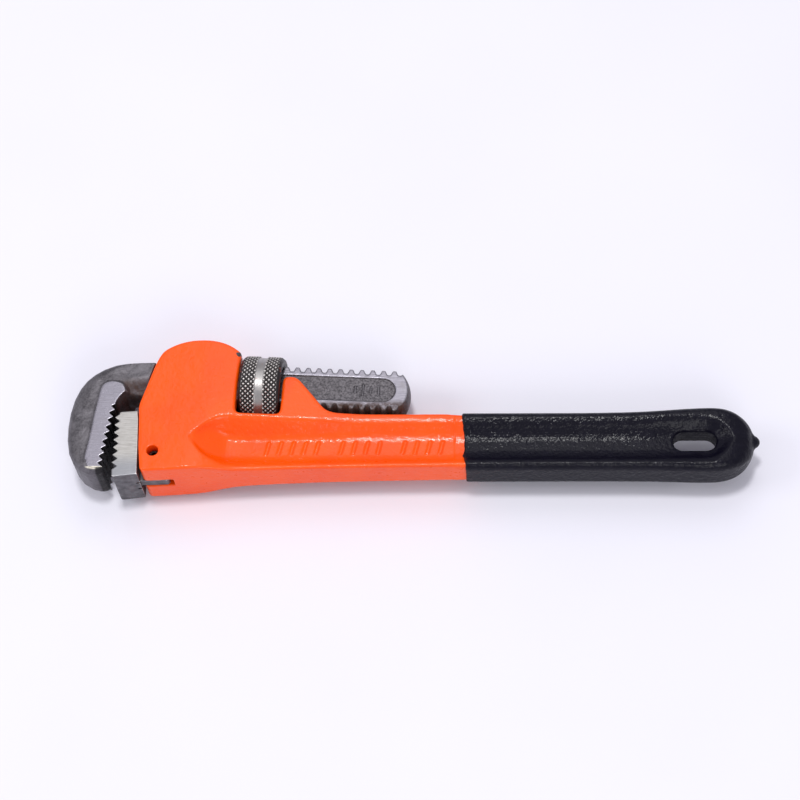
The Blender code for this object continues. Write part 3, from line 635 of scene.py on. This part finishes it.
# ------------------------------------------------------------------ materials
class Finish:
    """A Principled material with helpers for nodes that work in drawing-frame millimetres."""

    def __init__(self, name, **sockets):
        self.m = bpy.data.materials.new(name)
        self.m.use_nodes = True
        self.t = self.m.node_tree
        self.t.nodes.clear()
        out = self.t.nodes.new("ShaderNodeOutputMaterial")
        self.b = self.t.nodes.new("ShaderNodeBsdfPrincipled")
        self.t.links.new(self.b.outputs[0], out.inputs[0])
        for key, value in sockets.items():
            self.b.inputs[key.replace("_", " ")].default_value = value
        tc = self.t.nodes.new("ShaderNodeTexCoord")
        mp = self.t.nodes.new("ShaderNodeMapping")
        mp.inputs["Location"].default_value = tuple(-SHIFT)
        mp.inputs["Scale"].default_value = (1000.0, 1000.0, 1000.0)
        self.t.links.new(tc.outputs["Object"], mp.inputs["Vector"])
        self.co = mp.outputs[0]
        sep = self.t.nodes.new("ShaderNodeSeparateXYZ")
        self.t.links.new(self.co, sep.inputs[0])
        self.x, self.y, self.z = sep.outputs
        self.az = self.op("ABSOLUTE", self.z)

    def put(self, socket, value):
        if isinstance(value, (int, float, tuple)):
            socket.default_value = value if not isinstance(value, tuple) or len(value) == 3 and socket.type == "VECTOR" else value
        else:
            self.t.links.new(value, socket)

    def op(self, kind, a, b=None, c=None):
        n = self.t.nodes.new("ShaderNodeMath")
        n.operation = kind
        for k, v in enumerate((a, b, c)):
            if v is not None:
                self.put(n.inputs[k], v)
        return n.outputs[0]

    def ramp(self, v, a, b, c=0.0, d=1.0, soft=True):
        n = self.t.nodes.new("ShaderNodeMapRange")
        n.interpolation_type = "SMOOTHSTEP" if soft else "LINEAR"
        self.put(n.inputs["Value"], v)
        for key, w in (("From Min", a), ("From Max", b), ("To Min", c), ("To Max", d)):
            n.inputs[key].default_value = w
        return n.outputs["Result"]

    def stretch(self, sx, sy, sz, turn=0.0):
        n = self.t.nodes.new("ShaderNodeMapping")
        n.inputs["Rotation"].default_value = (0.0, 0.0, turn)
        n.inputs["Scale"].default_value = (sx, sy, sz)
        self.t.links.new(self.co, n.inputs["Vector"])
        return n.outputs[0]

    def noise(self, scale, detail=3.0, rough=0.55, at=None, warp=0.0):
        n = self.t.nodes.new("ShaderNodeTexNoise")
        n.inputs["Scale"].default_value = scale
        n.inputs["Detail"].default_value = detail
        n.inputs["Roughness"].default_value = rough
        n.inputs["Distortion"].default_value = warp
        self.t.links.new(at or self.co, n.inputs["Vector"])
        return n.outputs["Fac"]

    def cells(self, scale, kind="F1", at=None):
        n = self.t.nodes.new("ShaderNodeTexVoronoi")
        n.feature = kind
        n.inputs["Scale"].default_value = scale
        self.t.links.new(at or self.co, n.inputs["Vector"])
        return n.outputs["Distance"]

    def attr(self, name):
        n = self.t.nodes.new("ShaderNodeAttribute")
        n.attribute_name = name
        return n.outputs["Fac"]

    def mix(self, f, a, b):
        n = self.t.nodes.new("ShaderNodeMix")
        n.data_type = "RGBA"
        n.clamp_factor = True
        self.put(n.inputs["Factor"], f)
        for s, v in ((n.inputs[6], a), (n.inputs[7], b)):
            if isinstance(v, tuple):
                s.default_value = tuple(v[:3]) + (1.0,)
            else:
                self.t.links.new(v, s)
        return n.outputs[2]

    def blend(self, f, a, b):
        n = self.t.nodes.new("ShaderNodeMix")
        n.data_type = "FLOAT"
        self.put(n.inputs["Factor"], f)
        self.put(n.inputs[2], a)
        self.put(n.inputs[3], b)
        return n.outputs[0]

    def color(self, v):
        self.t.links.new(v, self.b.inputs["Base Color"])

    def rough(self, v):
        self.t.links.new(v, self.b.inputs["Roughness"])

    def metal(self, v):
        self.t.links.new(v, self.b.inputs["Metallic"])

    def bump(self, *layers):
        """layers of (height, millimetres), first layer lowest."""
        normal = None
        for height, mm in layers:
            n = self.t.nodes.new("ShaderNodeBump")
            n.inputs["Strength"].default_value = 1.0
            n.inputs["Distance"].default_value = mm * 0.001
            self.put(n.inputs["Height"], height)
            if normal is not None:
                self.t.links.new(normal, n.inputs["Normal"])
            normal = n.outputs[0]
        self.t.links.new(normal, self.b.inputs["Normal"])
        self.t.links.new(normal, self.b.inputs["Coat Normal"])

    def both_above(self, *pairs):
        """Product of masks."""
        v = pairs[0]
        for w in pairs[1:]:
            v = self.op("MULTIPLY", v, w)
        return v


def orange_enamel():
    f = Finish("orange_enamel", Metallic=0.0, IOR=1.5, Coat_Weight=0.30, Coat_Roughness=0.09, Coat_IOR=1.5)
    f.b.inputs["Specular IOR Level"].default_value = 0.20
    big = f.noise(0.06, 2.0)
    fine = f.noise(0.8, 4.0)
    base = f.mix(f.ramp(big, 0.35, 0.65), (0.95, 0.080, 0.0), (0.99, 0.094, 0.0))
    base = f.mix(f.ramp(fine, 0.62, 0.80, 0.0, 0.25), base, (0.80, 0.085, 0.006))
    # painted highlight: mask of the convex edges and rims, which get a lighter orange
    thin = f.ramp(f.attr("edge"), 0.35, 1.1)
    painted_crease_shade = f.ramp(f.attr("edge"), -0.9, -0.2, 1.0, 0.0)
    # painted shade: darker orange in the hollows and creases
    base = f.mix(f.op("MULTIPLY", painted_crease_shade, 0.55), base, (0.62, 0.045, 0.003))
    # painted highlight: lighter orange on the convex edges and rims
    base = f.mix(f.op("MULTIPLY", thin, 0.30), base, (1.0, 0.19, 0.035))
    # bare spots: the corner next to the nut, and the housing's cut edges
    dx = f.op("SUBTRACT", f.x, 33.0)
    dy = f.op("SUBTRACT", f.y, 27.6)
    spot = f.op("SQRT", f.op("ADD", f.op("MULTIPLY", dx, dx), f.op("MULTIPLY", dy, dy)))
    spot = f.op("ADD", spot, f.op("MULTIPLY", f.noise(1.5, 3.0), 1.6))
    chip = f.both_above(f.ramp(spot, 1.75, 1.5), f.ramp(f.az, 6.5, 7.5))
    speck = f.both_above(f.ramp(f.noise(0.9, 4.0, 0.6, warp=0.4), 0.69, 0.72), f.ramp(f.attr("edge"), 0.45, 0.8))
    bare = f.op("MAXIMUM", chip, speck)
    color = f.mix(bare, base, (0.055, 0.045, 0.042))
    f.color(color)
    rough = f.ramp(f.noise(0.5, 3.0), 0.3, 0.7, 0.27, 0.40)
    f.rough(f.blend(bare, rough, 0.6))
    peel = f.noise(0.75, 2.0, 0.5)
    sand = f.noise(0.22, 3.0, 0.6)
    f.bump((sand, 0.15), (f.noise(0.62, 2.0, 0.5), 0.09), (peel, 0.10), (f.noise(1.9, 2.0), 0.05), (bare, -0.05))
    return f.m


def black_vinyl():
    f = Finish("black_vinyl", Metallic=0.0, IOR=1.5, Coat_Weight=0.22, Coat_Roughness=0.13)
    f.b.inputs["Specular IOR Level"].default_value = 0.08
    dust = f.ramp(f.noise(0.35, 5.0, 0.65), 0.45, 0.75)
    color = f.mix(dust, (0.0022, 0.0018, 0.0072), (0.0048, 0.0041, 0.0112))
    # painted highlight: lighter grey on the grip's convex ridges
    color = f.mix(f.ramp(f.attr("edge"), 0.2, 0.9, 0.0, 0.5), color, (0.016, 0.016, 0.019))
    f.color(color)
    f.rough(f.ramp(f.noise(1.1, 3.0), 0.25, 0.75, 0.34, 0.50))
    pebble = f.noise(0.85, 2.0, 0.5)
    broad = f.noise(0.35, 2.0, 0.5)
    f.bump((broad, 0.18), (pebble, 0.22), (f.noise(1.9, 2.0), 0.06))
    return f.m


def scratches(f, turn, scale, thin, low, high):
    """Fine lines along one direction in the plane."""
    n = f.noise(scale, 2.0, 0.5, at=f.stretch(thin, 1.0, 0.2, turn))
    return f.ramp(n, low, high)


def forged_steel():
    f = Finish("forged_steel", IOR=1.6)
    f.b.inputs["Specular IOR Level"].default_value = 0.5
    coarse = f.noise(0.16, 4.0, 0.6, warp=0.6)
    grain = f.noise(1.4, 4.0, 0.7)
    dark, light = (0.068, 0.062, 0.070), (0.150, 0.140, 0.154)
    color = f.mix(f.ramp(coarse, 0.32, 0.68), dark, light)
    color = f.mix(f.ramp(grain, 0.35, 0.70, 0.0, 0.5), color, (0.20, 0.19, 0.205))
    face = f.both_above(f.ramp(f.az, 8.40, 8.47), f.ramp(f.x, 0.0, -1.5))
    rim = f.both_above(f.ramp(f.az, SHANK_H - 0.22, SHANK_H - 0.06), f.ramp(f.x, 5.0, 8.0))
    ground = f.op("MAXIMUM", face, f.op("MULTIPLY", rim, 0.85))
    hair = scratches(f, math.radians(10), 3.4, 0.06, 0.35, 0.68)
    bright = f.mix(hair, (0.27, 0.255, 0.295), (0.36, 0.345, 0.395))
    bright = f.mix(f.ramp(f.noise(0.22, 4.0), 0.55, 0.78, 0.0, 0.6), bright, (0.26, 0.24, 0.24))
    color = f.mix(ground, color, bright)
    sunk = f.both_above(f.ramp(f.az, SHANK_H - 0.30, SHANK_H - 0.50), f.ramp(f.x, 44.0, 47.0))
    color = f.mix(f.op("MULTIPLY", sunk, 0.7), color, f.mix(f.ramp(grain, 0.35, 0.65), (0.022, 0.019, 0.022), (0.180, 0.165, 0.178)))
    # painted highlight: a bright strip along the lower edge of the hook's tip
    painted_tip_highlight = f.both_above(f.ramp(f.y, -13.95, -14.15), f.ramp(f.y, -15.1, -14.9), f.ramp(f.az, 7.9, 8.2), f.ramp(f.x, -8.6, -9.2))
    color = f.mix(painted_tip_highlight, color, (0.62, 0.58, 0.50))
    edge = f.attr("edge")
    worn = f.both_above(f.ramp(edge, 0.35, 1.0), f.ramp(f.noise(0.7, 3.0), 0.35, 0.62))
    color = f.mix(f.op("MULTIPLY", worn, 0.6), color, (0.34, 0.325, 0.35))
    # painted shade: darker in hollow, concave places
    hollow = f.ramp(edge, -1.0, -0.25, 1.0, 0.0)
    color = f.mix(f.op("MULTIPLY", hollow, 0.7), color, (0.035, 0.031, 0.030))
    # painted shade between the teeth
    reach = f.op("SUBTRACT", f.x, f.op("ADD", f.op("MULTIPLY", f.y, 0.1183), -8.05))
    painted_teeth_shade = f.both_above(f.ramp(reach, -2.4, -1.5), f.ramp(f.az, 8.46, 8.30), f.ramp(f.x, -3.5, -4.5), f.ramp(f.y, 11.0, 9.0))
    color = f.mix(f.op("MULTIPLY", painted_teeth_shade, 0.93), color, (0.010, 0.009, 0.010))
    # rust in the throat, on the shank's lower teeth and in streaks over the crown
    throat = f.both_above(f.ramp(f.x, -9.0, -5.5), f.ramp(f.x, 4.0, 0.5), f.ramp(f.y, 20.5, 17.0), f.ramp(f.az, 8.2, 7.2))
    lower = f.both_above(f.ramp(f.x, 42.0, 47.0), f.ramp(f.y, 12.4, 9.8))
    streak = f.both_above(f.ramp(f.x, 6.0, 0.0), f.ramp(f.noise(0.24, 4.0, 0.65, at=f.stretch(1.0, 0.5, 1.0)), 0.60, 0.78), 0.35)
    rust = f.op("MAXIMUM", f.op("MAXIMUM", f.op("MULTIPLY", throat, 0.75), f.op("MULTIPLY", lower, 0.95)), streak)
    rust = f.op("MULTIPLY", rust, f.ramp(f.noise(0.55, 5.0, 0.65), 0.30, 0.62, 0.25, 1.0))
    color = f.mix(rust, color, (0.062, 0.026, 0.013))
    across = f.op("ADD", f.op("SUBTRACT", f.y, NUT_C[1]), f.op("MULTIPLY", f.op("SUBTRACT", f.x, NUT_C[0]), 0.0558))
    # rust and painted shade: the near side of the shank's teeth below the flats goes near black to rust brown, and also
    # counts as rust for metal and roughness
    rust_and_painted_root_shade = f.both_above(f.ramp(across, -6.4, -7.4), f.ramp(f.az, 4.62, 4.35), f.ramp(f.x, 43.0, 46.0))
    color = f.mix(f.op("MULTIPLY", rust_and_painted_root_shade, 0.88), color, f.mix(f.ramp(grain, 0.4, 0.65), (0.012, 0.008, 0.008), (0.062, 0.026, 0.014)))
    rust = f.op("MAXIMUM", rust, rust_and_painted_root_shade)
    f.color(color)
    f.metal(f.op("SUBTRACT", f.blend(ground, 0.72, 0.95), f.op("MULTIPLY", rust, 0.55)))
    rough = f.blend(ground, f.ramp(grain, 0.3, 0.7, 0.40, 0.58), f.ramp(hair, 0.0, 1.0, 0.42, 0.26, False))
    f.rough(f.blend(rust, rough, 0.8))
    pits = f.ramp(f.cells(0.55), 0.0, 0.35)
    rough_mask = f.op("SUBTRACT", 1.0, f.op("MULTIPLY", ground, 0.85))
    f.bump((f.op("MULTIPLY", f.noise(0.30, 3.0), rough_mask), 0.22), (f.op("MULTIPLY", pits, rough_mask), 0.03),
           (f.op("MULTIPLY", f.noise(0.9, 3.0, 0.6), rough_mask), 0.16), (f.op("MULTIPLY", grain, rough_mask), 0.06), (hair, 0.004))
    return f.m


def heel_steel():
    f = Finish("heel_steel", IOR=1.6)
    top = f.ramp(f.az, 8.45, 8.62)
    hair = scratches(f, math.radians(0), 3.0, 0.10, 0.30, 0.72)
    cross = scratches(f, math.radians(55), 2.0, 0.05, 0.60, 0.75)
    light = f.mix(hair, (0.36, 0.345, 0.325), (0.50, 0.485, 0.465))
    light = f.mix(f.op("MULTIPLY", cross, 0.45), light, (0.28, 0.265, 0.255))
    light = f.mix(f.ramp(f.noise(0.3, 4.0), 0.55, 0.8, 0.0, 0.45), light, (0.27, 0.245, 0.23))
    light = f.mix(f.ramp(f.y, -8.0, -15.0, 0.0, 0.7), light, (0.24, 0.25, 0.285))
    side = f.mix(f.ramp(f.noise(0.35, 4.0), 0.3, 0.7), (0.085, 0.082, 0.088), (0.17, 0.165, 0.175))
    color = f.mix(top, side, light)
    worn = f.both_above(f.ramp(f.attr("edge"), 0.5, 1.3), f.ramp(f.noise(0.9, 3.0), 0.3, 0.6))
    color = f.mix(f.op("MULTIPLY", worn, 0.8), color, (0.66, 0.65, 0.64))
    # painted shade: darker in hollow, concave places such as between the teeth
    hollow = f.ramp(f.attr("edge"), -1.2, -0.3, 1.0, 0.0)
    color = f.mix(f.op("MULTIPLY", hollow, 0.75), color, (0.03, 0.027, 0.026))
    f.color(color)
    f.metal(f.blend(top, 0.8, 0.92))
    f.rough(f.blend(top, f.ramp(f.noise(0.8, 3.0), 0.3, 0.7, 0.38, 0.55), f.ramp(hair, 0.0, 1.0, 0.44, 0.30, False)))
    f.bump((f.noise(0.5, 3.0), 0.03), (f.noise(2.0, 3.0), 0.008), (hair, 0.006))
    return f.m


def nut_steel():
    f = Finish("nut_steel", IOR=1.6)
    c, s = math.cos(TILT), math.sin(TILT)
    dx, dy = f.op("SUBTRACT", f.x, NUT_C[0]), f.op("SUBTRACT", f.y, NUT_C[1])
    al = f.op("ADD", f.op("MULTIPLY", dx, c), f.op("MULTIPLY", dy, s))
    ac = f.op("SUBTRACT", f.op("MULTIPLY", dy, c), f.op("MULTIPLY", dx, s))
    rad = f.op("SQRT", f.op("ADD", f.op("MULTIPLY", ac, ac), f.op("MULTIPLY", f.z, f.z)))
    aal = f.op("ABSOLUTE", al)
    knurl = f.ramp(aal, 1.5, 1.7)
    crest = f.ramp(rad, NUT_R - 0.20, NUT_R - 0.02)
    base = f.mix(f.ramp(f.noise(0.35, 4.0), 0.3, 0.7), (0.20, 0.185, 0.180), (0.36, 0.345, 0.335))
    # painted shade: the knurl's valleys darkened
    base = f.mix(f.both_above(knurl, f.ramp(rad, NUT_R - 0.16, NUT_R - 0.36)), base, (0.042, 0.037, 0.037))
    # painted highlight: the knurl's crests lightened
    base = f.mix(f.op("MULTIPLY", crest, 0.9), base, (0.66, 0.63, 0.60))
    groove = f.both_above(f.ramp(aal, 1.5, 1.25), f.ramp(rad, NUT_R - 1.2, NUT_R - 0.8))
    base = f.mix(f.op("MULTIPLY", groove, 0.8), base, (0.40, 0.385, 0.375))
    rim = f.both_above(f.ramp(aal, 5.4, 6.1), f.ramp(rad, 9.8, 10.6))
    paint = f.both_above(f.op("MAXIMUM", f.op("MULTIPLY", groove, 0.5), rim), f.ramp(f.noise(0.45, 4.0, 0.6), 0.60, 0.72))
    base = f.mix(f.op("MULTIPLY", paint, 0.7), base, (0.45, 0.06, 0.012))
    # painted shade: darker inside the bore and on the end faces near it
    bore = f.ramp(rad, 9.6, 9.0)
    base = f.mix(bore, base, (0.07, 0.065, 0.063))
    f.color(base)
    f.metal(f.blend(paint, 0.9, 0.1))
    f.rough(f.ramp(f.noise(1.2, 3.0), 0.3, 0.7, 0.30, 0.46))
    turned = f.noise(2.6, 2.0, 0.5, at=f.stretch(4.0, 0.2, 0.2))
    f.bump((f.noise(0.8, 3.0), 0.02), (f.op("MULTIPLY", turned, groove), 0.02), (f.noise(4.0, 2.0), 0.006))
    return f.m


def small_steel(name, dark, light, rough=(0.3, 0.5), paint=0.0):
    f = Finish(name, IOR=1.6)
    color = f.mix(f.ramp(f.noise(0.8, 4.0), 0.3, 0.7), dark, light)
    if paint:
        spots = f.ramp(f.noise(0.7, 4.0, 0.6), 0.62 - paint, 0.70 - paint)
        color = f.mix(spots, color, (0.50, 0.05, 0.006))
        f.metal(f.blend(spots, 0.9, 0.0))
    else:
        f.metal(f.ramp(f.noise(0.8, 3.0), 0.2, 0.8, 0.85, 0.97))
    f.color(color)
    f.rough(f.ramp(f.noise(1.6, 3.0), 0.3, 0.7, *rough))
    f.bump((f.noise(1.2, 3.0), 0.02), (f.noise(5.0, 2.0), 0.005))
    return f.m


def pale_floor():
    f = Finish("pale_floor", Metallic=0.0)
    f.b.inputs["Specular IOR Level"].default_value = 0.15
    f.color(f.mix(f.ramp(f.noise(0.012, 2.0), 0.2, 0.8), (0.800, 0.790, 0.865), (0.815, 0.806, 0.878)))
    f.rough(f.ramp(f.noise(0.05, 2.0), 0.2, 0.8, 0.85, 0.92))
    return f.m


# ------------------------------------------------------------------ camera, floor, light
def aim(obj, position, target):
    obj.location = position
    obj.rotation_euler = (Vector(target) - Vector(position)).to_track_quat("-Z", "Y").to_euler()


def area(name, position, target, size, watts, tint=(1.0, 1.0, 1.0), size_y=None):
    data = bpy.data.lights.new(name, "AREA")
    data.energy, data.size, data.color = watts, size, tint
    if size_y:
        data.shape, data.size_y = "RECTANGLE", size_y
    obj = bpy.data.objects.new(name, data)
    bpy.context.scene.collection.objects.link(obj)
    aim(obj, position, target)


def studio():
    data = bpy.data.cameras.new("camera")
    data.sensor_fit, data.sensor_width, data.lens = "HORIZONTAL", 36.0, 90.0
    data.clip_start, data.clip_end = 0.01, 20.0
    cam = bpy.data.objects.new("camera", data)
    bpy.context.scene.collection.objects.link(cam)
    right, up, back = Vector(CAM_RIGHT), Vector(CAM_UP), -Vector(CAM_FORWARD)
    turn = Matrix((right, up, back)).transposed().to_4x4()
    cam.matrix_world = Matrix.Translation(Vector(CAM_PLACE)) @ turn
    bpy.context.scene.camera = cam
    bpy.context.scene.view_settings.view_transform = "Standard"
    n = 24
    verts = [(x, y, 0.0) for y in np.linspace(-2.5, 2.5, n) for x in np.linspace(-2.5, 2.5, n)]
    faces = [(j * n + i, j * n + i + 1, (j + 1) * n + i + 1, (j + 1) * n + i) for j in range(n - 1) for i in range(n - 1)]
    mesh = bpy.data.meshes.new("floor")
    mesh.from_pydata(verts, [], faces)
    floor = bpy.data.objects.new("floor", mesh)
    bpy.context.scene.collection.objects.link(floor)
    mesh.materials.append(pale_floor())
    world = bpy.data.worlds.new("studio")
    world.use_nodes = True
    back = world.node_tree.nodes["Background"]
    back.inputs[0].default_value = (0.93, 0.92, 1.0, 1.0)
    back.inputs[1].default_value = 0.53
    bpy.context.scene.world = world
    area("back", (0.0, 0.85, 1.30), (0.0, 0.0, 0.0), 0.8, 2.6)
    area("overhead", (-0.05, 0.10, 1.45), (0.0, 0.0, 0.0), 0.20, 8.5)
    area("left", (-1.1, -0.1, 0.9), (0.0, 0.0, 0.0), 0.5, 3.5)
    area("front", (0.35, -1.1, 0.8), (0.0, 0.0, 0.0), 0.6, 4.2)


# ------------------------------------------------------------------ build
studio()
make_handle(orange_enamel())
make_grip(black_vinyl())
make_hook(forged_steel())
make_nut(nut_steel())
make_heel(heel_steel())
PIECES = (
    ("heel_jaw_pin", small_steel("pin_steel", (0.012, 0.010, 0.010), (0.05, 0.035, 0.03), (0.5, 0.7), 0.05)),
    ("spring_rivet", small_steel("rivet_steel", (0.20, 0.20, 0.20), (0.38, 0.38, 0.38))),
)
for node, material in PIECES:
    o = frame["nodes"][node]
    o.data.materials.clear()
    o.data.materials.append(material)

# the leaf spring is cut along its length and put on no body; the coil spring under it is rounded once and set on the
# frame
leaf = spring_piece("bent_leaf_spring", "flat_spring", None, small_steel("spring_steel", (0.10, 0.105, 0.12), (0.24, 0.25, 0.28)),
                    cuts=(16.2, 17.4, 18.2, 20.2, 21.4, 23.6, 24.6, 26.6, 27.6, 29.4))
coil = spring_piece("wound_coil_spring", "coil_spring", "frame", small_steel("coil_steel", (0.22, 0.22, 0.23), (0.42, 0.42, 0.43)), rounds=1)
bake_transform(leaf)
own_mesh(coil)
